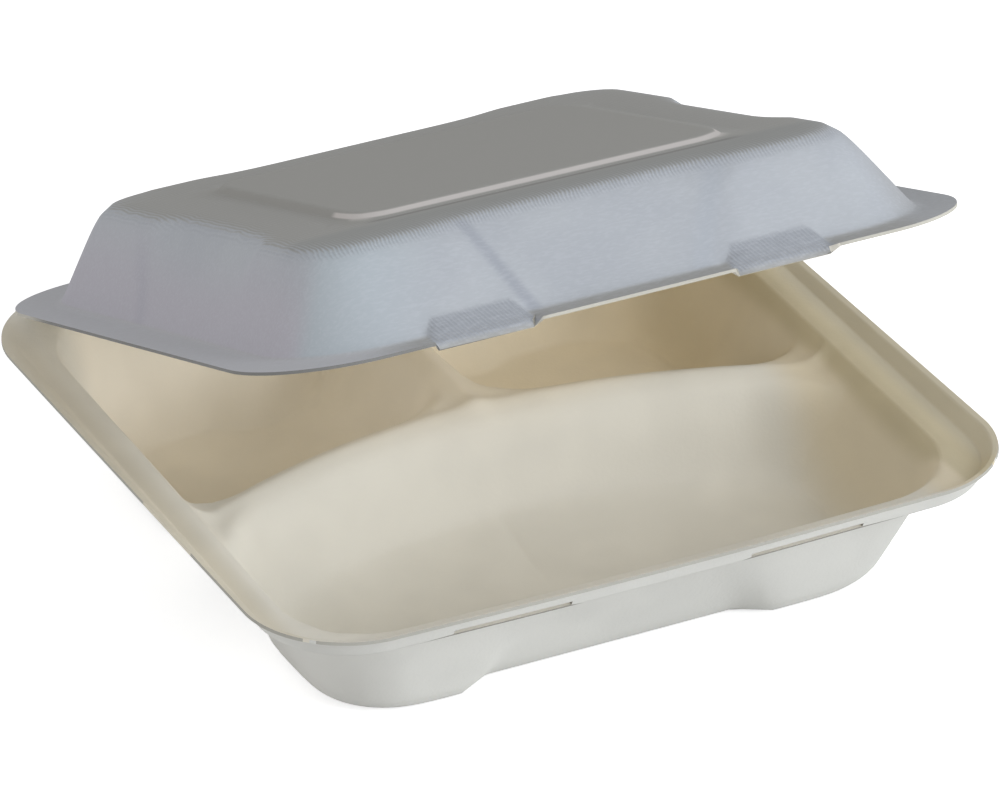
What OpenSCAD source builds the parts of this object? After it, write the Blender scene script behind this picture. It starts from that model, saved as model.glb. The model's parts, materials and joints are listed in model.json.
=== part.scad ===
// Take-away meal box pressed from cane fibre: a tray with three compartments and a domed
// lid that folds on the back edge. Both are one sheet of even thickness, drawn as a grid of
// rings that follow the rim, with the compartments, flutes and catches worked into it.

/* [Fibre] */
// Thickness of the pressed sheet
wall = 0.9; // [0.6:0.1:1.2]
// Gap along the fold between tray and lid
fold_gap = 0.3; // [0.2:0.1:0.6]

/* [Tray] */
// Width across the rim
box_w = 228; // [218:1:250]
// Depth from the front rim to the fold
box_d = 221; // [212:1:245]
// Height from the feet to the rim
tray_h = 43.6; // [34:0.1:52]
// Corner radius of the rim
rim_r = 31; // [28:1:36]
// Outward bow of the front rim
rim_bow = 1.3; // [0:0.1:3]
// Width of the flared lip
lip_w = 5; // [4:0.5:6]
// Depth of the ledge below the rim at the front
ledge_drop = 6.4; // [5:0.2:8]
// Distance from the rim to the top of the compartment walls
ledge_w = 13.5; // [12:0.5:16]
// Lean of the walls, sideways run for each mm of height
tray_lean = 0.4; // [0.3:0.01:0.45]
// Corner radius at the top of the compartments
pocket_r = 26; // [24:1:28]
// Corner radius at the floor
floor_corner_r = 22; // [18:1:24]
// Rounding between ledge and wall
brow_r = 3; // [2:0.5:4]
// Rounding between wall and floor
floor_r = 4.5; // [4:0.5:7]

/* [Dividers] */
// Depth of the dividers below the rim
divider_drop = 10; // [8:0.5:14]
// Depth of the large front compartment, front rim to divider
divider_y = 121; // [115:1:127]
// Forward bend of the divider for each mm squared off the middle
divider_bend = 0.0026; // [0.002:0.0001:0.003]
// Half width of the rounded divider top
divider_top = 3; // [2:0.5:4]
// Lean of the divider faces
divider_lean = 0.36; // [0.3:0.01:0.42]
// Rounding where the dividers meet walls and floor
divider_fillet = 9; // [6:1:12]

/* [Flutes] */
// Width of a flute's sloping side
flute_side = 10; // [7:1:12]
// Half width of the tray's front and back flutes under the ledge
flute_top = 28; // [26:1:30]
// Half width of the tray's front and back flutes at the floor
flute_low = 44; // [40:1:46]
// Half width of the flutes in the tray's left and right walls
flute_end = 34; // [30:1:36]
// Depth of the tray's flutes at the floor
flute_depth = 6; // [3:0.5:7]
// How far the front flute and the catches sit from the middle
front_shift = -2.5; // [-4:0.5:4]

/* [Lid] */
// How far the flange stays inside the rim at the sides
lid_inset = 5; // [4.5:0.5:8]
// How far the flange stays inside the rim at the front
lid_front = 4; // [4:0.5:8]
// Height of the roof above the flange's underside
lid_h = 27.5; // [22:0.5:34]
// Width of the flange at the front
flange_w = 7; // [5:0.5:9]
// Width of the flange at the sides
side_flange = 10.5; // [8:0.5:12]
// Width of the flange at the fold
fold_flange = 12; // [9:0.5:15]
// Corner radius of the flange
flange_r = 32; // [28:1:36]
// Corner radius at the foot of the dome
dome_r = 29; // [24:1:32]
// Corner radius of the roof
roof_r = 15; // [12:1:20]
// Run of the front wall, foot to roof
front_run = 20; // [14:0.5:24]
// Run of the side and back walls
side_run = 16; // [12:0.5:20]
// Rounding between the walls and the roof
roof_edge = 8; // [5:0.5:10]
// Half width of the lid's front and back flutes at the roof
roof_flute = 42; // [38:1:44]
// Half width of the lid's left and right flutes
side_flute = 33; // [28:1:36]
// Distance of the side flutes' middle from the fold
side_flute_y = 117; // [110:1:122]
// Depth of the lid's flutes at the roof
lid_flute_depth = 4; // [2:0.5:5]
// Width of the raised panel
panel_w = 112; // [100:1:118]
// Depth of the raised panel
panel_d = 96; // [86:1:102]
// Distance from the fold to the raised panel's middle
panel_y = 107; // [102:1:112]
// Rise of the panel above the roof
panel_rise = 1.3; // [0.5:0.1:2]
// Corner radius of the panel
panel_r = 9; // [6:1:12]
// How far the lid stands open
open_angle = 20; // [0:1:100]

/* [Catches] */
// Distance of each catch from the middle
catch_x = 45; // [42:0.5:48]
// Length of each tab
tab_l = 32; // [28:1:34]
// How far the tabs sit to the right of the slots' middles, within the play
tab_shift = 1.2; // [-1.2:0.1:1.2]
// How far a tab reaches below the flange
tab_drop = 2.6; // [1.5:0.1:3]
// How far a tab's edge stands back from the flange's edge
tab_inset = 2.2; // [1.8:0.1:3]
// Height of the sloping pad above a tab
catch_h = 5; // [4:0.5:8]
// Height of each slot in the lip
slot_h = 1.4; // [1:0.1:1.6]
// Length of each slot
slot_l = 35; // [34:0.5:38]
// Height of a slot's middle above the ledge
slot_up = 1; // [1:0.05:1.4]

/* [Hidden] */

fold_y = (box_d + rim_bow) / 2;            // the fold line, at the back of the tray
fold_z = tray_h + fold_gap / 2;            // just above the flat back flange
front_y = fold_y - box_d;
floor_depth = tray_h - wall - ledge_drop;  // ledge to floor at the front
tray_run = tray_lean * floor_depth;
divider_z = tray_h - divider_drop;
divider_reach = 96;                        // the divider bends no further out than this
core_inset = 10;                           // floor grid inside the last ring
fibre = [0.90, 0.87, 0.78];
lid_fibre = [0.66, 0.68, 0.72];
lid_w = box_w - 2 * lid_inset;
lid_d = box_d - lid_front;

function mix(a, b, t) = a + (b - a) * t;
function clamp(v) = max(0, min(1, v));
function ease(v) = let (c = clamp(v)) c * c * (3 - 2 * c);
function bend(a, b, c, t) = (1 - t) * (1 - t) * a + 2 * t * (1 - t) * b + t * t * c;
function blend_max(a, b, k) = max(a, b) + pow(max(k - abs(a - b), 0), 2) / (4 * k);
function both_sides(a) = concat([for (v = a) -v], [0], [for (n = [len(a) - 1:-1:0]) a[n]]);

// A flute: 1 within half width w of its middle, easing to 0 over its sloping side
function flute(t, w) = ease((w + flute_side / 2 - abs(t)) / flute_side);

// Steps in from the nearer edge of a grid line with n steps
function steps_in(i, n) = min(i, n - i);
function ring_of(i, j, nx, ny) = min(steps_in(i, nx), steps_in(j, ny));

// Place of grid point (i, j) on a ring [half width, front, back, corner radius]. The last
// ring, number "core", is a plain rectangle that the inner grid fills. xs and ys are the
// grid lines that lie between the corners.
function ring_point(i, j, nx, ny, core, ring, xs, ys) =
    let (
        ci = steps_in(i, nx),
        cj = steps_in(j, ny),
        k = min(ci, cj),
        sx = i < nx / 2 ? -1 : 1,
        side_y = j < ny / 2 ? ring[1] : ring[2],
        sy = j < ny / 2 ? -1 : 1,
        x_line = ci > core ? xs[i - core - 1] : sx * ring[0],
        y_line = cj > core ? ys[j - core - 1] : side_y,
        t = k < core ? (max(ci, cj) - k) / (core - k) : 0,
        turn = ci > cj ? 45 + 45 * t : 45 - 45 * t
    )
    k >= core ? [x_line, y_line]
    : ci > core ? [x_line, side_y]
    : cj > core ? [sx * ring[0], y_line]
    : [sx * (ring[0] - ring[3] + ring[3] * cos(turn)),
       side_y - sy * (ring[3] - ring[3] * sin(turn))];

// A closed sheet: the given grid of points on top, and one wall below it along the normal.
// slants(i, j) says which way the cell is split into triangles.
module sheet(grid, nx, ny, slants) {
    function at(i, j) = grid[max(0, min(ny, j)) * (nx + 1) + max(0, min(nx, i))];
    function normal(i, j) =
        let (n = cross(at(i + 1, j) - at(i - 1, j), at(i, j + 1) - at(i, j - 1))) n / norm(n);
    function number(i, j, low) = (low ? len(grid) : 0) + j * (nx + 1) + i;
    function pair(a, b, c, d, low) = low ? [[a, c, b], [a, d, c]] : [[a, b, c], [a, c, d]];
    function cell(i, j, low) =
        let (
            a = number(i, j, low),
            b = number(i, j + 1, low),
            c = number(i + 1, j + 1, low),
            d = number(i + 1, j, low)
        )
        slants(i, j) ? pair(a, b, c, d, low) : pair(b, c, d, a, low);
    function strip(a, b) =
        let (c = a + len(grid), d = b + len(grid)) [[a, b, d], [a, d, c]];
    under = [for (j = [0:ny]) for (i = [0:nx]) at(i, j) - wall * normal(i, j)];
    polyhedron(
        points = concat(grid, under),
        faces = concat(
            [for (low = [false, true]) for (j = [0:ny - 1]) for (i = [0:nx - 1])
                each cell(i, j, low)],
            [for (i = [0:nx - 1]) each strip(number(i, 0, false), number(i + 1, 0, false))],
            [for (i = [0:nx - 1]) each strip(number(i + 1, ny, false), number(i, ny, false))],
            [for (j = [0:ny - 1]) each strip(number(0, j + 1, false), number(0, j, false))],
            [for (j = [0:ny - 1]) each strip(number(nx, j, false), number(nx, j + 1, false))]
        )
    );
}

// The tray's rings, rim first: [inset, share of the ledge's drop, share of the wall's
// depth, corner radius]
brow_share = brow_r / floor_depth;
foot_share = 1 - floor_r / floor_depth;
tray_rings = concat(
    [[0, 0, 0, rim_r],
     [0.34 * lip_w, 0.08, 0, rim_r - 0.34 * lip_w],
     [0.72 * lip_w, 0.66, 0, rim_r - 0.68 * lip_w],
     [0.9 * lip_w, 0.95, 0, rim_r - 0.8 * lip_w],
     [1.3 * lip_w, 1, 0, pocket_r]],
    [for (t = [0:0.5:1])
        let (share = bend(0, 0, brow_share, t))
        [bend(ledge_w - brow_r, ledge_w, ledge_w + brow_share * tray_run, t), 1, share,
         mix(pocket_r, floor_corner_r, share)]],
    [for (share = [0.32, 0.6])
        [ledge_w + share * tray_run, 1, share, mix(pocket_r, floor_corner_r, share)]],
    [for (t = [0:0.5:1])
        let (share = bend(foot_share, 1, 1, t))
        [bend(ledge_w + foot_share * tray_run, ledge_w + tray_run,
              ledge_w + tray_run + floor_r, t), 1, share,
         mix(pocket_r, floor_corner_r, share)]],
    [[ledge_w + tray_run + floor_r + core_inset, 1, 1, 0]]
);
tray_core = len(tray_rings) - 1;
divider_foot = sqrt(pow((divider_z - wall) * divider_lean + divider_top, 2) - pow(divider_top, 2));
divider_lines = [for (share = [1.3, 1.02, 0.8, 0.54, 0.27]) share * divider_foot];

function ledge_z(y) = tray_h - ledge_drop * (fold_y - y) / box_d;

// Middle line of the main divider
function divider_line(x) =
    front_y + divider_y - divider_bend * pow(min(abs(x), divider_reach), 2);

// Grid lines between the corners: the flutes' sides and the dividers, always in order
function tray_xs(share) =
    let (
        w = mix(flute_top, flute_low, share),
        e = flute_side / 2,
        reach = divider_lines[0] + 2,
        left = max(reach, w - e - front_shift),
        right = max(reach, w - e + front_shift)
    )
    concat([-left - 2 * e, -left], both_sides(divider_lines), [right, right + 2 * e]);
function tray_ys(x) =
    let (
        e = flute_side / 2,
        middle = divider_line(x),
        reach = divider_lines[0] + 2,
        front = min(middle - reach, -flute_end - e),
        back = max(middle + reach, flute_end - e)
    )
    concat([front], [for (v = both_sides(divider_lines)) middle + v],
           [back, max(back + 3, flute_end + e)]);
tray_nx = 2 * tray_core + 1 + len(tray_xs(0));
tray_ny = 2 * tray_core + 1 + len(tray_ys(0));

// Cells split along the folds between walls and dividers, which all run at 45 degrees
mid_i = tray_core + 8;
mid_j = tray_core + 7;
tray_slants = function (i, j)
    let (
        end_x = steps_in(i + 0.5, tray_nx) < tray_core && abs(j + 0.5 - mid_j) < 6,
        end_y = tray_ny - j <= tray_core && abs(i + 0.5 - mid_i) < 6
    )
    ((i < mid_i) == (j < mid_j)) != (end_x || end_y);

// Height of a ridge at distance e from its middle line
function ridge(e) =
    divider_z - (sqrt(e * e + divider_top * divider_top) - divider_top) / divider_lean;

function dividers(x, y) =
    let (
        behind = max(0, divider_line(x) - y) / divider_lean,
        main = ridge(y - divider_line(x)),
        short = ridge(x) - behind
    )
    blend_max(main, short, divider_fillet);

function tray_point(i, j) =
    let (
        nx = tray_nx,
        ny = tray_ny,
        k = min(ring_of(i, j, nx, ny), tray_core),
        row = tray_rings[k],
        ring = [box_w / 2 - row[0], front_y + row[0], fold_y - fold_gap / 2 - row[0], row[3]],
        rough = ring_point(i, j, nx, ny, tray_core, ring, tray_xs(row[2]),
                           tray_ys(divider_reach)),
        along = 1 - pow(rough[0] / (box_w / 2 - rim_r), 2),
        bow = j < ny / 2 && k < tray_core ? rim_bow * max(0, along) * (1 - row[2]) : 0,
        cut = k < tray_core ? flute_depth * row[2] : 0,
        on_x = steps_in(i, nx) == k && steps_in(j, ny) > k,
        in_x = on_x ? cut * flute(rough[1], flute_end) : 0,
        in_y = on_x ? 0 : cut * flute(rough[0] - (j < ny / 2 ? front_shift : 0),
                                      mix(flute_top, flute_low, row[2])),
        x = rough[0] - sign(rough[0]) * in_x,
        p = ring_point(i, j, nx, ny, tray_core, ring, tray_xs(row[2]), tray_ys(x)),
        y = p[1] + (j < ny / 2 ? in_y : -in_y) - bow,
        top = ledge_z(y),
        shelf = mix(tray_h, top, row[1]),
        hollow = mix(shelf, wall, row[2])
    )
    [x, y, row[1] < 1 ? shelf : min(top, blend_max(hollow, dividers(x, y), divider_fillet))];

module catch_slot(side) {
    mid = front_shift + side * catch_x;
    z = ledge_z(front_y) + slot_up;
    translate([mid - slot_l / 2, front_y - lip_w, z - slot_h / 2])
        cube([slot_l, 2 * lip_w + 1, slot_h]);
}

module tray() {
    color(fibre)
        difference() {
            sheet([for (j = [0:tray_ny]) for (i = [0:tray_nx]) tray_point(i, j)],
                  tray_nx, tray_ny, tray_slants);
            for (side = [-1, 1])
                catch_slot(side);
        }
}

// The lid's rings, flange first: [share of the walls' run, share of the height, stage,
// corner radius]. The stage picks the grid lines: 0 at the flange, 1 at the roof, 2 at the panel.
roof_rise = lid_h - wall;
foot_r = 1.8;
foot_rise = foot_r / roof_rise;
edge_share = 1 - roof_edge / roof_rise;
lid_wall_rings = concat(
    [for (t = [0.5:0.5:1])
        let (share = bend(0, 0, foot_rise, t))
        [bend(-foot_rise, 0, foot_rise, t), share, 0, mix(dome_r, roof_r, share)]],
    [[catch_h / roof_rise, catch_h / roof_rise, 0,
      mix(dome_r, roof_r, catch_h / roof_rise)]],
    [for (t = [0:1/3:1.01])
        let (share = bend(edge_share, 1, 1, t))
        [bend(edge_share, 1, 1 + roof_edge / roof_rise, t), share, 1,
         mix(dome_r, roof_r, share)]]
);
panel_bevel = 1.7;
lid_core = len(lid_wall_rings) + 4;
lid_nx = 2 * lid_core + 12;
lid_ny = 2 * lid_core + 8;

// A ring of the lid as [half width, front, back, corner radius, height, stage]
function lid_ring(k) =
    let (
        n = k - 2,
        row = n >= 0 && n < len(lid_wall_rings) ? lid_wall_rings[n] : [0, 0, 0, 0],
        grow = [panel_bevel, 0, -panel_r][max(0, n - len(lid_wall_rings))]
    )
    k == 0 ? [lid_w / 2, -lid_d, -fold_gap / 2, flange_r, 0, 0]
    : k == 1 ? [lid_w / 2 - side_flange + foot_r, -lid_d + flange_w - foot_r,
                -fold_flange + foot_r, dome_r + foot_r, 0, 0]
    : n < len(lid_wall_rings)
        ? [lid_w / 2 - side_flange - row[0] * side_run, -lid_d + flange_w + row[0] * front_run,
           -fold_flange - row[0] * side_run, row[3], row[1] * roof_rise, row[2]]
    : [panel_w / 2 + grow, -panel_y - panel_d / 2 - grow, -panel_y + panel_d / 2 + grow,
       panel_r + grow, roof_rise + (grow > 0 ? 0 : panel_rise), 2];

// Half width of the lid's front and back flutes: they narrow to the catches at the foot
function lid_flute_w(rise) = mix(roof_flute - 20, roof_flute, clamp(rise));

// Grid lines between the corners, from flange to roof to panel
function staged(stage, foot, roof, panel) =
    stage < 1 ? mix(foot, roof, stage) : mix(roof, panel, stage - 1);
function lid_xs(stage, rise) =
    let (
        e = flute_side / 2,
        w = lid_flute_w(rise / roof_rise),
        h = tab_half(rise),
        inner = panel_w / 2 - panel_r,
        foot = [catch_x + h, catch_x + h - 2, catch_x - h + 2, catch_x - h, 22],
        roof = [w + e + 10, w + e + 5, w + e, w - e, w / 2],
        panel = [0.94, 0.85, 0.75, 0.6, 0.3] * inner
    )
    [for (v = both_sides(staged(stage, foot, roof, panel)))
        v + front_shift * (1 - stage / 2) + tab_shift * max(0, 1 - stage)];
function lid_ys(stage) =
    let (
        e = flute_side / 2,
        w = side_flute,
        straight = [w + e + 6, w + e, w - e],
        inner = [0.9, 0.7, 0.45] * (panel_d / 2 - panel_r)
    )
    [for (v = both_sides(staged(stage, straight, straight, inner)))
        v - staged(stage, side_flute_y, side_flute_y, panel_y)];

// Half length of a tab, and of its pad, which narrows upwards
function tab_half(rise) = tab_l / 2 - min(0.7 * rise, 3.8);

// Which part of a catch a point on the front edge has: 1 along the tab, 0 beside it
function catch_part(x, rise) =
    max([for (side = [-1, 1])
        clamp((tab_half(rise) - abs(x - front_shift - tab_shift - side * catch_x)) / 2)]);

// Push of a tab and its pad on the first rings: [back, up]
function catch_push(k) =
    k == 0 ? [tab_inset, -tab_drop]
    : k == 1 ? [3 - flange_w + foot_r, -0.8]
    : k == 2 ? [5.4 - flange_w, 0.45]
    : k == 3 ? [-0.4, 1]
    : [0, 0];

function lid_point(i, j) =
    let (
        nx = lid_nx,
        ny = lid_ny,
        k = min(ring_of(i, j, nx, ny), lid_core),
        ring = lid_ring(k),
        p = ring_point(i, j, nx, ny, lid_core, ring, lid_xs(ring[5], ring[4]),
                       lid_ys(ring[5])),
        rise = ring[5] > 1 ? 0 : clamp(ring[4] / roof_rise),
        cut = lid_flute_depth * (1 - pow(1 - rise, 2)),
        on_x = steps_in(i, nx) == k && steps_in(j, ny) > k,
        in_x = on_x ? cut * flute(p[1] + side_flute_y, side_flute) : 0,
        in_y = on_x ? 0 : cut * flute(p[0] - front_shift * (1 - rise / 2), lid_flute_w(rise)),
        catch = j < ny / 2 && !on_x ? catch_part(p[0], ring[4]) * catch_push(k) : [0, 0]
    )
    [p[0] - sign(p[0]) * in_x,
     p[1] + (j < ny / 2 ? in_y : -in_y) + catch[0],
     fold_gap / 2 + wall + ring[4] + catch[1]];

lid_slants = function (i, j) (i < lid_nx / 2) == (j < lid_ny / 2);

module lid() {
    color(lid_fibre)
        translate([0, fold_y, fold_z])
            rotate([-open_angle, 0, 0])
                sheet([for (j = [0:lid_ny]) for (i = [0:lid_nx]) lid_point(i, j)],
                      lid_nx, lid_ny, lid_slants);
}

tray();
lid();
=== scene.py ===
import json
from math import cos, hypot, radians, sin, sqrt, tan
import bpy
from mathutils import Matrix, Vector


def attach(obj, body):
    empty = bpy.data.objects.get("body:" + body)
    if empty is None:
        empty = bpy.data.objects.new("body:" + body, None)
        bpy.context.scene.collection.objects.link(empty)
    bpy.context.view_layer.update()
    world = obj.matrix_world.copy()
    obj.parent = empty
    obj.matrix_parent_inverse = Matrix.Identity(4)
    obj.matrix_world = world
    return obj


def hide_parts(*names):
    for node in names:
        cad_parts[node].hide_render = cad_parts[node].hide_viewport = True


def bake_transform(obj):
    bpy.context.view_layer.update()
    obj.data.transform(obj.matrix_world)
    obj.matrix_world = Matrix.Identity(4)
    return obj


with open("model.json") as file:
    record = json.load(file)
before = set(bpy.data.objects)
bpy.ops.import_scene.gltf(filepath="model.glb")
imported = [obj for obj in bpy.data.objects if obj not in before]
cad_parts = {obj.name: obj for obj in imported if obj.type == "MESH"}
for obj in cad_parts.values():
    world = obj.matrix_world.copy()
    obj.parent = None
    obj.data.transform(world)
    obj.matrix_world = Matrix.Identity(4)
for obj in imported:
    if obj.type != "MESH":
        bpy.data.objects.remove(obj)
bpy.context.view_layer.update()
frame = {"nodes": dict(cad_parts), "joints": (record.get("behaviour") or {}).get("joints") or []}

scene = bpy.context.scene
mm = 0.001
fold = Vector(frame["joints"][0]["pos_m"])  # the crease along the back edge
openAngle = radians(20)  # how far the lid stands open at rest
levelLid = Matrix.Rotation(openAngle, 3, "X")  # from the open lid to the lid's own level frame
lidUp = levelLid.inverted() @ Vector((0, 0, 1))
trayUp = Vector((0, 0, 1))


# Helpers

def deselectAll():
    if bpy.context.object and bpy.context.object.mode != "OBJECT":
        bpy.ops.object.mode_set(mode="OBJECT")
    bpy.ops.object.select_all(action="DESELECT")


def activate(piece):
    deselectAll()
    piece.select_set(True)
    bpy.context.view_layer.objects.active = piece


def applyModifier(piece, kind, **settings):
    activate(piece)
    modifier = piece.modifiers.new(kind.title(), kind)
    for name, value in settings.items():
        setattr(modifier, name, value)
    bpy.ops.object.modifier_apply(modifier=modifier.name)


def editAll(mode="FACE"):
    bpy.ops.object.mode_set(mode="EDIT")
    bpy.ops.mesh.select_mode(type=mode)
    bpy.ops.mesh.select_all(action="SELECT")


def leaveEdit():
    bpy.ops.object.mode_set(mode="OBJECT")


# 0 at start and before it, 1 at end and past it
def shareOf(value, start, end):
    return min(max((value - start) / (end - start), 0), 1)


# Material nodes

# A dull material with hardly any gloss
def newMaterial(name, roughness, sheen):
    material = bpy.data.materials.new(name)
    material.use_nodes = True
    shader = material.node_tree.nodes["Principled BSDF"]
    shader.inputs["Roughness"].default_value = roughness
    shader.inputs["Specular IOR Level"].default_value = 0.2
    shader.inputs["Sheen Weight"].default_value = sheen
    return material, material.node_tree, shader


def addNode(tree, kind, inputs, output=0, **settings):
    made = tree.nodes.new("ShaderNode" + kind)
    for name, value in settings.items():
        setattr(made, name, value)
    for key, value in inputs.items():
        if isinstance(value, bpy.types.NodeSocket):
            tree.links.new(value, made.inputs[key])
        else:
            made.inputs[key].default_value = value
    return made.outputs[output]


def calc(tree, operation, *values):
    return addNode(tree, "Math", dict(enumerate(values)), operation=operation)


# 0 below low and 1 above high, or from start to end, with a soft change between
def ramp(tree, value, low, high, start=0.0, end=1.0):
    return addNode(tree, "MapRange", {"Value": value, "From Min": low, "From Max": high,
                                      "To Min": start, "To Max": end},
                   interpolation_type="SMOOTHSTEP")


# 1 below low and 0 above high
def fall(tree, value, low, high):
    return ramp(tree, value, low, high, 1.0, 0.0)


# 1 where the value lies between low and high, fading over soft
def between(tree, value, low, high, soft):
    rising = ramp(tree, value, low - soft, low + soft)
    return calc(tree, "MULTIPLY", rising, fall(tree, value, high - soft, high + soft))


# 1 where all of the masks are 1
def overlap(tree, *masks):
    joined = masks[0]
    for mask in masks[1:]:
        joined = calc(tree, "MULTIPLY", joined, mask)
    return joined


def axes(tree, place):
    split = tree.nodes.new("ShaderNodeSeparateXYZ")
    tree.links.new(place, split.inputs[0])
    return split.outputs


def mixColour(tree, factor, first, second):
    made = tree.nodes.new("ShaderNodeMix")
    made.data_type = "RGBA"
    for index, value in ((0, factor), (6, first), (7, second)):  # the colour sockets are 6 and 7
        if isinstance(value, bpy.types.NodeSocket):
            tree.links.new(value, made.inputs[index])
        else:
            made.inputs[index].default_value = value
    return made.outputs[2]


# Noise stretched along the axes: size is the length in metres of one speck each way
def specks(tree, place, size, detail=2.0, seed=0.0):
    scaled = addNode(tree, "Mapping", {"Vector": place, "Scale": [1 / s for s in size],
                                       "Location": (seed, seed * 0.7, seed * 1.3)})
    return addNode(tree, "TexNoise", {"Vector": scaled, "Scale": 1.0, "Detail": detail,
                                      "Roughness": 0.55})


# Soft clouds of this size, from 0 to 1
def clouds(tree, place, size):
    return ramp(tree, specks(tree, place, [size] * 3), 0.35, 0.65)


def relief(tree, shader, height, distance):
    bump = addNode(tree, "Bump", {"Height": height, "Strength": 1.0, "Distance": distance})
    tree.links.new(bump, shader.inputs["Normal"])


# From 0 to 255 as a picture shows it, to the shader's linear colour
def colour(red, green, blue):
    linear = [((v / 255 + 0.055) / 1.055) ** 2.4 if v > 10 else v / 255 / 12.92
              for v in (red, green, blue)]
    return (*linear, 1.0)


black = colour(0, 0, 0)


# Pressed cane fibre. A pair whose name ends in At is where a tone fades in or out, in metres

fibre = {"inside": (232, 228, 217), "outside": (220, 219, 213), "roughness": 0.75, "sheen": 0.05,
         "cloud": 0.034, "shade": 0.06, "grain": 0.0011, "grainDepth": 0.00005, "rougher": 1.6}

# rearLeft and rearRight are painted light in the rear compartments, where light bounces in under the lid
food = {"rearLeft": (254, 246, 230), "rearRight": (254, 243, 220), "rearFrontAt": (0.0, 0.02),
        "rearBackAt": (0.092, 0.100), "rearSidesAt": (0.084, 0.096), "rearRightAt": (-0.03, 0.05),
        # leftLip, rightSide, rightLedge and rightLip are painted shade: the left lip under the lid's
        # overhang, the right side facing away from the light
        "leftLip": (222, 215, 198), "leftLipAt": (-0.109, -0.101),
        "rightSide": (232, 221, 197), "rightSideAt": (0.080, 0.092),
        "rightLedge": (214, 203, 174), "rightLedgeAt": (0.096, 0.099),
        "rightLip": (216, 208, 186), "rightLipAt": (0.104, 0.109)}

# tray is the tray's cut edge, painted darker than the sheet as the shade along the rim's edge
cutEdge = {"tray": (178, 176, 167), "slots": (150, 147, 139), "slotsAt": (0.0392, 0.0400),
           "lid": (196, 193, 182), "lidLeftShade": (132, 132, 130), "lidLeftAt": (-0.055, -0.035),
           "lidBackAt": (0.06, 0.08), "rougher": 1.5}


# Zones are (mask, colour) pairs laid over the light colour, before the clouds
def smoothFibre(name, light, zones=None, rougher=1.0):
    material, tree, shader = newMaterial(name, fibre["roughness"], fibre["sheen"])
    place = addNode(tree, "TexCoord", {}, "Object")
    base = colour(*light)
    for mask, tone in zones(tree, place) if zones else ():
        base = mixColour(tree, mask, base, colour(*tone))
    shade = calc(tree, "MULTIPLY", clouds(tree, place, fibre["cloud"]), fibre["shade"])
    tree.links.new(mixColour(tree, shade, base, black), shader.inputs["Base Color"])
    grain = specks(tree, place, [fibre["grain"]] * 3, 1.0, 4.0)
    relief(tree, shader, grain, fibre["grainDepth"] * rougher)
    return material


# Painted light and shade on the food side: lightest in the rear compartments, as light bounced in under the
# lid, and duller towards both sides, as shade
def foodSideLightAndShade(tree, place):
    x, y, z = axes(tree, place)
    side = calc(tree, "ABSOLUTE", x)
    rear = overlap(tree, ramp(tree, y, *food["rearFrontAt"]), fall(tree, side, *food["rearSidesAt"]),
                   fall(tree, y, *food["rearBackAt"]))
    return ((rear, food["rearLeft"]),
            (overlap(tree, rear, ramp(tree, x, *food["rearRightAt"])), food["rearRight"]),
            # The left lip and the right side, ledge and lip are painted shade
            (fall(tree, x, *food["leftLipAt"]), food["leftLip"]),
            (ramp(tree, x, *food["rightSideAt"]), food["rightSide"]),
            (ramp(tree, x, *food["rightLedgeAt"]), food["rightLedge"]),
            (ramp(tree, x, *food["rightLipAt"]), food["rightLip"]))


# Painted shadow inside the slots: the tray's cut faces low in the lip are painted darker
def slotShadowOnTrayEdge(tree, place):
    x, y, z = axes(tree, place)
    return ((fall(tree, z, *cutEdge["slotsAt"]), cutEdge["slots"]),)


# Painted shade on the lid's cut edge along its left side, which lies in shade
def shadeOnLidLeftEdge(tree, place):
    x, y, z = axes(tree, place)
    left = overlap(tree, fall(tree, x, *cutEdge["lidLeftAt"]), fall(tree, y, *cutEdge["lidBackAt"]))
    return ((left, cutEdge["lidLeftShade"]),)


insideFibre = smoothFibre("Fibre_Inside", fibre["inside"], foodSideLightAndShade)
outsideFibre = smoothFibre("Fibre_Outside", fibre["outside"], rougher=fibre["rougher"])
trayEdge = smoothFibre("Fibre_TrayEdge", cutEdge["tray"], slotShadowOnTrayEdge, cutEdge["rougher"])
lidEdge = smoothFibre("Fibre_LidEdge", cutEdge["lid"], shadeOnLidLeftEdge, cutEdge["rougher"])
print("fibre materials ready")


# The lid's outer side, with the marks of the wire screen it was formed on, and painted light and shade on
# its walls, roof, flange and panel
screen = {"face": (184, 188, 193), "faceShade": (179, 183, 189), "corner": (180, 188, 194),
          "leftWall": (184, 182, 190), "leftBand": (172, 171, 181), "rightWall": (174, 176, 179),
          "rightEdge": (152, 153, 155), "roof": (159, 158, 154), "roofFront": (151, 152, 150),
          "leftFlange": (192, 193, 198), "rightFlange": (140, 134, 126), "pad": (163, 167, 174),
          "panelEdgeHighlight": (204, 199, 196), "panelFootShadow": (128, 127, 124), "light": (206, 209, 216),
          "leftFold": (166, 170, 178), "rightFold": (179, 184, 191), "roughness": 0.85, "sheen": 0.05,
          "cloud": 0.03, "dash": (0.0024, 0.0007, 0.0007), "dashDepth": 0.00006,
          "dashRange": (0.42, 0.70), "strokes": 0.0011, "strokeDepth": 0.00014, "strokeRange": (0.2, 0.9),
          "wander": 6.0, "slant": radians(28), "padWander": 3.0}

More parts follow.
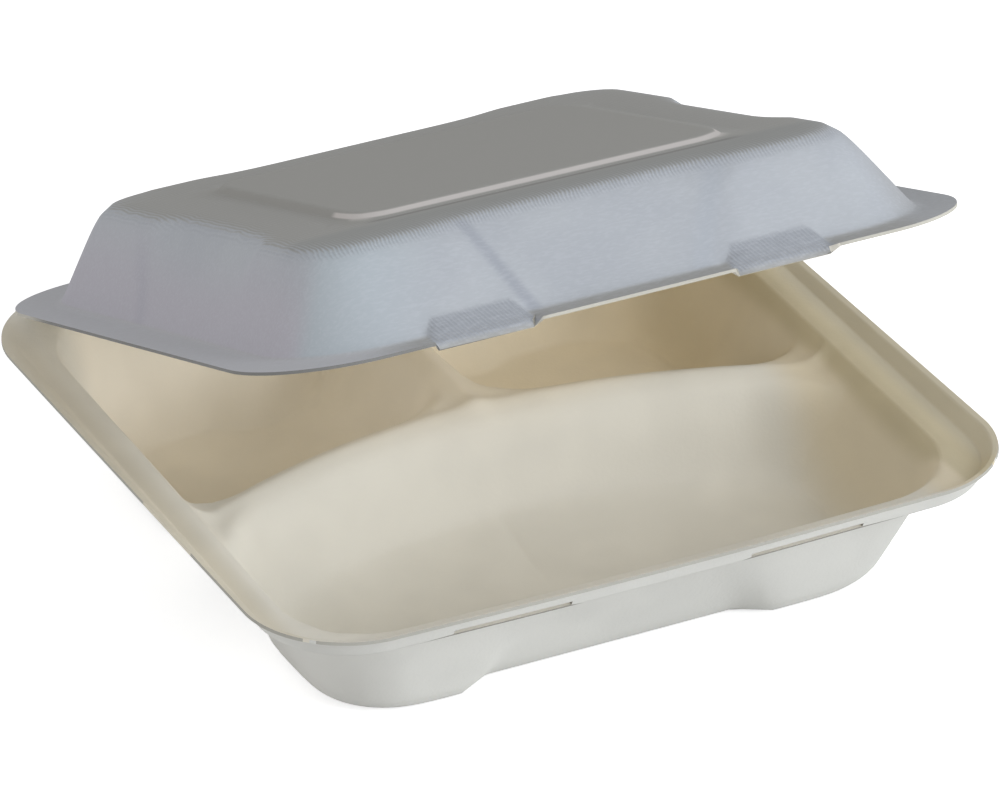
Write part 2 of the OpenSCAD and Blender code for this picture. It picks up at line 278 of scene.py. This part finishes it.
# Where its tones lie in the lid's level frame, in metres: x from the middle, y from the crease
# and negative towards the front, z from the flange. A pair holds the ends of a fade, three
# numbers a band's two ends and how softly it fades, and a line has a foot and leans with z
lidPlaces = {"roof": (0.0262, 0.0282), "ragged": 0.0010, "roofFront": (-0.174, -0.166),
             "front": (-0.172, -0.160), "bendBand": (0.0245, 0.0268, 0.0010),
             "leftWall": (-0.094, -0.080), "rightWall": (0.078, 0.092), "rightEdge": (0.019, 0.025),
             "cornerLine": (-0.0974, 0.6), "cornerStart": (0.0005, 0.0055), "cornerEnd": (0.008, 0.045),
             "cornerFront": (-0.168, -0.160),
             "leftBandLine": (-0.0955, 0.93), "leftBandWidth": (-0.0025, 0.0025, 0.004),
             "flange": (0.0012, 0.0024), "leftFlange": (-0.085, -0.060), "rightFlange": (0.086, 0.096),
             "leftFold": (-0.0282, -0.326), "leftFoldWidth": 0.0034,
             "rightFold": (0.0202, 0.74), "rightFoldWidth": 0.0052,
             "foldFront": (-0.15, -0.14), "foldTop": (0.0245, 0.0275)}

# Where the painted highlight on the panel's front edge and the painted shadow at its foot lie
panelPlaces = {"back": (-0.150, -0.146), "front": (-0.1730, -0.1715),
               "edgeBand": (0.0281, 0.0292, 0.0002), "footTurn": 0.03, "foot": (-0.1700, -0.1676, 0.0010),
               "footEnds": (-0.054, 0.056, 0.004), "footHeight": (0.0270, 0.0279, 0.0001)}

padPlaces = {"middles": (-0.0463, 0.0437), "lean": 0.7, "side": (0.0150, 0.0168),
             "height": (-0.0005, 0.0058, 0.0009), "front": (-0.196, -0.193)}

# How strongly some tones show, from 0 to 1; a pair is for the hollows and crests of the marks
strength = {"flange": 0.8, "leftBand": 0.6, "panelFootShadow": 0.7, "pad": (1.0, 0.75),
            "bendBand": (0.35, 0.0), "dashes": (0.0, 0.16)}


# Fine ribs across x, leaning by the slant and uneven by wander; at scale 1 they are 0.314 m apart
def ribs(tree, place, slant, wander):
    leaning = addNode(tree, "Mapping", {"Vector": place, "Rotation": (0.0, slant, 0.0)})
    return addNode(tree, "TexWave", {"Vector": leaning, "Scale": 0.314 / screen["strokes"],
                                     "Distortion": wander, "Detail": 2.0, "Detail Scale": 0.4},
                   "Fac", wave_type="BANDS", bands_direction="X")


# Distance along x or y from a line that leans with the height
def offLine(tree, along, z, foot, lean):
    return calc(tree, "SUBTRACT", along, calc(tree, "MULTIPLY_ADD", z, lean, foot))


# A soft line of painted shade down the front wall, along a ramp where the recess steps in, that leans with
# the height, fading over width
def foldShadeLine(tree, x, y, z, line, width):
    off = calc(tree, "ABSOLUTE", offLine(tree, x, z, *line))
    return overlap(tree, fall(tree, off, 0.1 * width, width), fall(tree, y, *lidPlaces["foldFront"]),
                   fall(tree, z, *lidPlaces["foldTop"]))


# The lighter patch beside the front left corner
def cornerPatch(tree, x, y, z, wall):
    off = offLine(tree, x, z, *lidPlaces["cornerLine"])
    return overlap(tree, ramp(tree, off, *lidPlaces["cornerStart"]),
                   fall(tree, off, *lidPlaces["cornerEnd"]), wall, fall(tree, y, *lidPlaces["cornerFront"]))


def wallZones(tree, x, y, z, wall):
    left = overlap(tree, fall(tree, x, *lidPlaces["leftWall"]), wall)
    band = between(tree, offLine(tree, y, z, *lidPlaces["leftBandLine"]), *lidPlaces["leftBandWidth"])
    leftFold = foldShadeLine(tree, x, y, z, lidPlaces["leftFold"], lidPlaces["leftFoldWidth"])
    rightFold = foldShadeLine(tree, x, y, z, lidPlaces["rightFold"], lidPlaces["rightFoldWidth"])
    return ((left, "leftWall"), (overlap(tree, band, left, strength["leftBand"]), "leftBand"),
            (cornerPatch(tree, x, y, z, wall), "corner"), (leftFold, "leftFold"), (rightFold, "rightFold"))


# Painted light and shade on the lid's outside. The roof, more at its front, is painted darker than the
# walls as shade, since the light comes from the front
def roofLightAndShade(tree, x, y, z, roof, wall):
    # The flange is painted dark in the roof's tone, as the shade at the wall's foot
    flange = ramp(tree, z, *lidPlaces["flange"], strength["flange"], 0.0)
    right = ramp(tree, x, *lidPlaces["rightWall"])
    return ((calc(tree, "MAXIMUM", roof, flange), "roof"),
            (overlap(tree, roof, fall(tree, y, *lidPlaces["roofFront"])), "roofFront"),
            # The left flange is painted lighter, as painted light where it faces up and the render leaves
            # it dark
            (overlap(tree, flange, fall(tree, x, *lidPlaces["leftFlange"])), "leftFlange"),
            # The right flange is painted darker, as the shade behind the lid's right end
            (overlap(tree, flange, ramp(tree, x, *lidPlaces["rightFlange"])), "rightFlange"),
            # The right wall and the right edge of the roof are painted darker, as shade on the lid's right
            # end
            (overlap(tree, right, wall), "rightWall"),
            (overlap(tree, right, ramp(tree, z, *lidPlaces["rightEdge"])), "rightEdge"))


# Painted highlight on the raised panel's light front edge and painted shadow in the dark line at its foot
def panelHighlightAndShadow(tree, x, y, z):
    edge = overlap(tree, between(tree, z, *panelPlaces["edgeBand"]), fall(tree, y, *panelPlaces["back"]),
                   ramp(tree, y, *panelPlaces["front"]))
    turned = calc(tree, "MULTIPLY_ADD", x, panelPlaces["footTurn"], y)
    foot = overlap(tree, between(tree, turned, *panelPlaces["foot"]),
                   between(tree, x, *panelPlaces["footEnds"]), between(tree, z, *panelPlaces["footHeight"]))
    return (edge, "panelEdgeHighlight"), (overlap(tree, foot, strength["panelFootShadow"]), "panelFootShadow")


# The two sloping pads above the tabs
def padMask(tree, x, y, z):
    offs = [calc(tree, "ABSOLUTE", calc(tree, "SUBTRACT", x, middle)) for middle in padPlaces["middles"]]
    side = calc(tree, "MULTIPLY_ADD", z, padPlaces["lean"], calc(tree, "MINIMUM", *offs))
    return overlap(tree, fall(tree, side, *padPlaces["side"]), between(tree, z, *padPlaces["height"]),
                   fall(tree, y, *padPlaces["front"]))


def screenFibre():
    material, tree, shader = newMaterial("Fibre_Screened", screen["roughness"], screen["sheen"])
    place = addNode(tree, "TexCoord", {}, "Object")
    level = addNode(tree, "Mapping", {"Vector": place, "Rotation": (openAngle, 0.0, 0.0),
                                      "Location": -(levelLid @ fold)})
    x, y, z = axes(tree, level)
    strokes = ribs(tree, level, 0.0, screen["wander"])
    leaning = ribs(tree, level, screen["slant"], screen["padWander"])
    dashes = specks(tree, level, screen["dash"], 1.0, 2.0)
    roof = ramp(tree, calc(tree, "MULTIPLY_ADD", strokes, lidPlaces["ragged"], z), *lidPlaces["roof"])
    wall = calc(tree, "SUBTRACT", 1.0, roof)
    bend = between(tree, z, *lidPlaces["bendBand"])
    pads = padMask(tree, x, y, z)
    padTone = ramp(tree, leaning, *screen["strokeRange"], *strength["pad"])
    bendTone = ramp(tree, strokes, *screen["strokeRange"], *strength["bendBand"])
    dashTone = ramp(tree, dashes, *screen["dashRange"], *strength["dashes"])
    marks = ((overlap(tree, pads, padTone), "pad"), (overlap(tree, bend, bendTone), "pad"),
             (overlap(tree, wall, dashTone), "light"))
    base = mixColour(tree, clouds(tree, level, screen["cloud"]), colour(*screen["face"]),
                     colour(*screen["faceShade"]))
    for mask, tone in (*wallZones(tree, x, y, z, wall), *roofLightAndShade(tree, x, y, z, roof, wall),
                       *panelHighlightAndShadow(tree, x, y, z), *marks):
        base = mixColour(tree, mask, base, colour(*screen[tone]))
    tree.links.new(base, shader.inputs["Base Color"])
    raised = calc(tree, "ADD", overlap(tree, bend, fall(tree, y, *lidPlaces["front"]), strokes),
                  overlap(tree, pads, leaning))
    height = calc(tree, "MULTIPLY_ADD", raised, screen["strokeDepth"] / screen["dashDepth"], dashes)
    relief(tree, shader, height, screen["dashDepth"])
    return material


lidFibre = screenFibre()
print("screened material ready")


# The two halves. thickest is the longest way through the sheet; a face that sees no other
# side within it is a cut edge. A crease is a least angle in degrees and how firmly it stays

shell = {"smoothing": 2, "thickest": 0.0022, "creases": ((14, 0.4), (20.5, 0.6)), "smoothAngle": 40,
         "merge": 0.00001, "inset": 0.0001, "flatAngle": 50, "skewAngle": 75}


# Gives the upper side, under side and cut edge of a half each its own slot
def markSides(piece, up):
    for face in piece.data.polygons:
        start = face.center - face.normal * shell["inset"]
        hit, place, normal, index = piece.ray_cast(start, -face.normal, distance=shell["thickest"])
        if not hit or normal.dot(face.normal) > -0.5:
            face.material_index = 2
        else:
            face.material_index = 0 if face.normal.dot(up) > 0 else 1


# The tray's middle stays uncreased, because its dividers are rounded later
def clearCreases(piece, reach):
    creases = piece.data.attributes["crease_edge"].data
    for edge in piece.data.edges:
        ends = [piece.data.vertices[index].co for index in edge.vertices]
        if all(abs(end.x) < reach[0] and abs(end.y) < reach[1] and end.z > reach[2] for end in ends):
            creases[edge.index].value = 0.0


# A smoothed copy of a half
def makeShell(node, name, up, materials, uncreased=None):
    piece = bpy.data.objects.new(name, frame["nodes"][node].data.copy())
    scene.collection.objects.link(piece)
    piece.data.name = name
    piece.data.materials.clear()
    activate(piece)
    editAll()
    bpy.ops.mesh.remove_doubles(threshold=shell["merge"])
    bpy.ops.mesh.normals_make_consistent(inside=False)
    leaveEdit()
    for material in materials:
        piece.data.materials.append(material)
    markSides(piece, up)
    editAll()
    bpy.ops.mesh.tris_convert_to_quads(face_threshold=radians(shell["flatAngle"]),
                                       shape_threshold=radians(shell["skewAngle"]))
    bpy.ops.mesh.select_mode(type="EDGE")
    for sharpness, crease in shell["creases"]:
        bpy.ops.mesh.select_all(action="DESELECT")
        bpy.ops.mesh.edges_select_sharp(sharpness=radians(sharpness))
        bpy.ops.transform.edge_crease(value=crease)
    leaveEdit()
    if uncreased:
        clearCreases(piece, uncreased)
    applyModifier(piece, "SUBSURF", levels=shell["smoothing"], render_levels=shell["smoothing"])
    bpy.ops.object.shade_smooth_by_angle(angle=radians(shell["smoothAngle"]))
    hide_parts(node)
    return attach(piece, node)


# The dividers are broad on top and turn into each other and the walls in wide curves.
# Their sizes, in millimetres: the long divider's middle line is a parabola, crown and hollow
# are the radii of a face's top and foot, and corner and frontCorner those seen from above
dividers = {"top": 33.6, "drop": 32.7, "middle": 11.15, "bend": 0.0026, "bendReach": 96, "wall": 102.3,
            "crown": 8.0, "hollow": 22.0, "steep": radians(70), "corner": 24.0, "frontCorner": 30.0,
            "widening": 1.25, "wideningAt": (0.4, 1.0), "blend": 4.0, "reach": (101, 97), "above": 60,
            "evenFrom": 0.3, "evenTimes": 4, "uncreased": (0.096, 0.092, 0.008)}


# How far a divider's face has dropped at this distance from its middle line
def dropAt(away):
    crown, hollow, steep = dividers["crown"], dividers["hollow"], dividers["steep"]
    straight = dividers["drop"] - (crown + hollow) * (1 - cos(steep))
    turn = crown * sin(steep)
    foot = turn + straight / tan(steep) + hollow * sin(steep)
    if away < turn:
        return crown - sqrt(crown ** 2 - away ** 2)
    if away > foot:
        return dividers["drop"]
    curve = hollow - sqrt(max(hollow ** 2 - (foot - away) ** 2, 0))
    slope = crown * (1 - cos(steep)) + (away - turn) * tan(steep)
    return dividers["drop"] - curve if foot - away < hollow * sin(steep) else slope


# Distance from two lines whose inner corner is rounded
def aroundCorner(one, other, reach):
    if max(one, other) >= reach:
        return min(one, other)
    return reach - hypot(reach - one, reach - other)


# The upper side's height at a place if there were only the dividers
def dividerHeight(x, y):
    line = dividers["middle"] - dividers["bend"] * min(abs(x), dividers["bendReach"]) ** 2
    away, reach = abs(y - line), dividers["frontCorner"]
    if y > line:
        reach = dividers["corner"]
        away = aroundCorner(away, abs(x), reach)
    widening = dividers["widening"] * reach * shareOf(away / reach, *dividers["wideningAt"]) ** 2
    away = min(away, aroundCorner(away, dividers["wall"] - abs(x) + widening, reach))
    return dividers["top"] - dropAt(max(away, 0))


# How far a point of the sheet rises, from the upper side's height over it or at it
def riseAt(piece, point):
    x, y = point.x / mm, point.y / mm
    if abs(x) > dividers["reach"][0] or abs(y) > dividers["reach"][1]:
        return 0
    above = (point.x, point.y, dividers["above"] * mm)
    hit, place, normal, index = piece.ray_cast(above, (0, 0, -1))
    blend = dividers["blend"]
    gap = dividerHeight(x, y) - blend / 4 - place.z / mm
    return max(gap, 0) + max(blend - abs(gap), 0) ** 2 / (4 * blend)


# Lifts both sides of the sheet to the dividers' full form, then evens out the grid
def roundDividers(piece):
    rises = [riseAt(piece, point.co) for point in piece.data.vertices]
    for point, rise in zip(piece.data.vertices, rises):
        point.co.z += rise * mm
    activate(piece)
    editAll("VERT")
    bpy.ops.mesh.select_all(action="DESELECT")
    leaveEdit()
    for point, rise in zip(piece.data.vertices, rises):
        point.select = rise > dividers["evenFrom"]
    bpy.ops.object.mode_set(mode="EDIT")
    bpy.ops.mesh.vertices_smooth(factor=0.5, repeat=dividers["evenTimes"])
    leaveEdit()


tray = makeShell("tray", "Tray", trayUp, (insideFibre, outsideFibre, trayEdge),
                 dividers["uncreased"])
roundDividers(tray)
print("tray made")


# The raised panel of the real lid reaches further to the front and stands a little higher.
# In the lid's level frame and in metres: the roof moves between still and its front edge,
# most at the panel's own edge, and by less towards the sides
panel = {"still": -0.110, "edge": -0.1567, "roof": -0.179, "shift": -0.0095, "turn": -0.03,
         "sides": (0.08, 0.06), "rise": 0.0005, "halfWidth": 0.056, "bevel": 0.0017, "back": -0.058,
         "under": 0.024}


def shapePanel(piece):
    bevel = panel["bevel"]
    for point in piece.data.vertices:
        x, y, z = levelLid @ (point.co - fold)
        if z < panel["under"] or abs(x) > panel["sides"][0] or not panel["roof"] < y < 0:
            continue
        onTop = (shareOf(abs(x), panel["halfWidth"] + bevel, panel["halfWidth"])
                 * shareOf(y, panel["edge"], panel["edge"] + bevel)
                 * shareOf(y, panel["back"], panel["back"] - bevel))
        share = (min(shareOf(y, panel["still"], panel["edge"]), shareOf(y, panel["roof"], panel["edge"]))
                 * shareOf(abs(x), *panel["sides"]))
        forward = (panel["shift"] + panel["turn"] * x) * share
        point.co += levelLid.inverted() @ Vector((0, forward, panel["rise"] * onTop))


lid = makeShell("lid", "Lid", lidUp, (lidFibre, insideFibre, lidEdge))
shapePanel(lid)
print("lid made")


# The fold

crease = {"radius": 0.00105, "length": 0.154, "sides": 48, "reach": 0.001}


# The bend of the sheet that joins both halves behind the fold
def makeFold():
    deselectAll()
    bpy.ops.mesh.primitive_cylinder_add(vertices=crease["sides"], radius=crease["radius"],
                                        depth=crease["length"], location=fold,
                                        rotation=(0, radians(90), 0))
    piece = bpy.context.object
    piece.name = piece.data.name = "Fold"
    bpy.ops.object.transform_apply(location=True, rotation=True, scale=True)
    lidSide = radians(90) + openAngle
    for normal in ((0, -1, 0), (0, cos(lidSide), sin(lidSide))):
        editAll()
        bpy.ops.mesh.bisect(plane_co=fold, plane_no=normal, use_fill=True, clear_outer=True)
    editAll()
    bpy.ops.mesh.subdivide(number_cuts=1)
    bpy.ops.mesh.normals_make_consistent(inside=False)
    leaveEdit()
    piece.data.materials.append(lidEdge)
    bpy.ops.object.shade_smooth_by_angle(angle=radians(shell["smoothAngle"]))
    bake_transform(piece)


makeFold()
print("fold made")


# Floor, light and camera. floor is the floor's shade, world the strength of the light all round

stage = {"floor": 0.80, "floorGlow": 0.66, "floorSize": 6, "floorGap": 0.0002, "world": 0.51}

# Side and height in degrees as seen from the box: side 0 is the front, and minus the left
lamps = {"Key": {"side": 27, "height": 36, "size": 0.9, "power": 7.5, "tint": (0.91, 0.95, 1.0)},
         "Front": {"side": 34, "height": 14, "size": 0.6, "power": 8.8, "tint": (0.93, 0.96, 1.0)},
         "Fill": {"side": -92, "height": 16, "size": 0.9, "power": 3.6, "tint": (1.0, 0.98, 0.98)}}
lampDistance = 1.6
lampTarget = Vector((0, 0, 0.06))

# Side and height as for the lamps, distance and target in metres, lens in mm for a 36 mm sensor
cameraView = {"side": -26.18, "height": 29.1238, "roll": -0.6584, "distance": 2.109624,
              "lens": 269.77996, "target": Vector((-0.0013255, -0.00677, 0.0436)), "clip": (0.1, 20.0)}


def grey(value):
    return value, value, value, 1.0


# The direction from the box towards this side and height
def towards(side, height):
    return Vector((sin(side) * cos(height), -cos(side) * cos(height), sin(height)))


# 1 on the rays that show the floor or the world, and 0 on those that light the object
def seenDirectly(tree):
    path = tree.nodes.new("ShaderNodeLightPath").outputs
    seen = calc(tree, "MAXIMUM", path["Is Camera Ray"], path["Is Glossy Ray"])
    return calc(tree, "MAXIMUM", seen, path["Is Transmission Ray"])


def makeFloor():
    deselectAll()
    bpy.ops.mesh.primitive_plane_add(size=stage["floorSize"], location=(0, 0, -stage["floorGap"]))
    floor = bpy.context.object
    floor.name = floor.data.name = "Floor"
    bpy.ops.object.transform_apply(location=True)
    material = bpy.data.materials.new("Floor_White")
    material.use_nodes = True
    tree = material.node_tree
    shader = tree.nodes["Principled BSDF"]
    shader.inputs["Base Color"].default_value = grey(stage["floor"])
    shader.inputs["Roughness"].default_value = 1.0
    shader.inputs["Specular IOR Level"].default_value = 0.0
    shader.inputs["Emission Color"].default_value = grey(stage["floorGlow"])
    tree.links.new(seenDirectly(tree), shader.inputs["Emission Strength"])
    floor.data.materials.append(material)


def makeWorld():
    world = bpy.data.worlds.new("World")
    scene.world = world
    world.use_nodes = True
    tree = world.node_tree
    shader = tree.nodes["Background"]
    shade = mixColour(tree, seenDirectly(tree), grey(stage["world"]), grey(1.0))
    tree.links.new(shade, shader.inputs["Color"])
    shader.inputs["Strength"].default_value = 1.0


# A soft round lamp that looks at the middle of the box
def makeLamp(name, side, height, size, power, tint):
    back = towards(radians(side), radians(height))
    bpy.ops.object.light_add(type="AREA", location=lampTarget + back * lampDistance)
    lamp = bpy.context.object
    lamp.name = lamp.data.name = name
    lamp.rotation_euler = back.to_track_quat("Z", "Y").to_euler()
    lamp.data.shape = "DISK"
    lamp.data.size = size
    lamp.data.energy = power
    lamp.data.color = tint


def makeCamera():
    side, height, roll = (radians(cameraView[key]) for key in ("side", "height", "roll"))
    back = towards(side, height)
    level = Vector((cos(side), sin(side), 0))
    upright = back.cross(level)
    right = level * cos(roll) + upright * sin(roll)
    up = upright * cos(roll) - level * sin(roll)
    bpy.ops.object.camera_add()
    camera = bpy.context.object
    camera.name = camera.data.name = "Camera"
    camera.data.lens = cameraView["lens"]
    camera.data.sensor_width = 36.0
    camera.data.clip_start, camera.data.clip_end = cameraView["clip"]
    pose = Matrix((right, up, back)).transposed().to_4x4()
    pose.translation = cameraView["target"] + back * cameraView["distance"]
    camera.matrix_world = pose
    scene.camera = camera


scene.view_settings.view_transform = "Standard"
makeFloor()
makeWorld()
for name, lamp in lamps.items():
    makeLamp(name, **lamp)
makeCamera()
print("floor, light and camera ready")
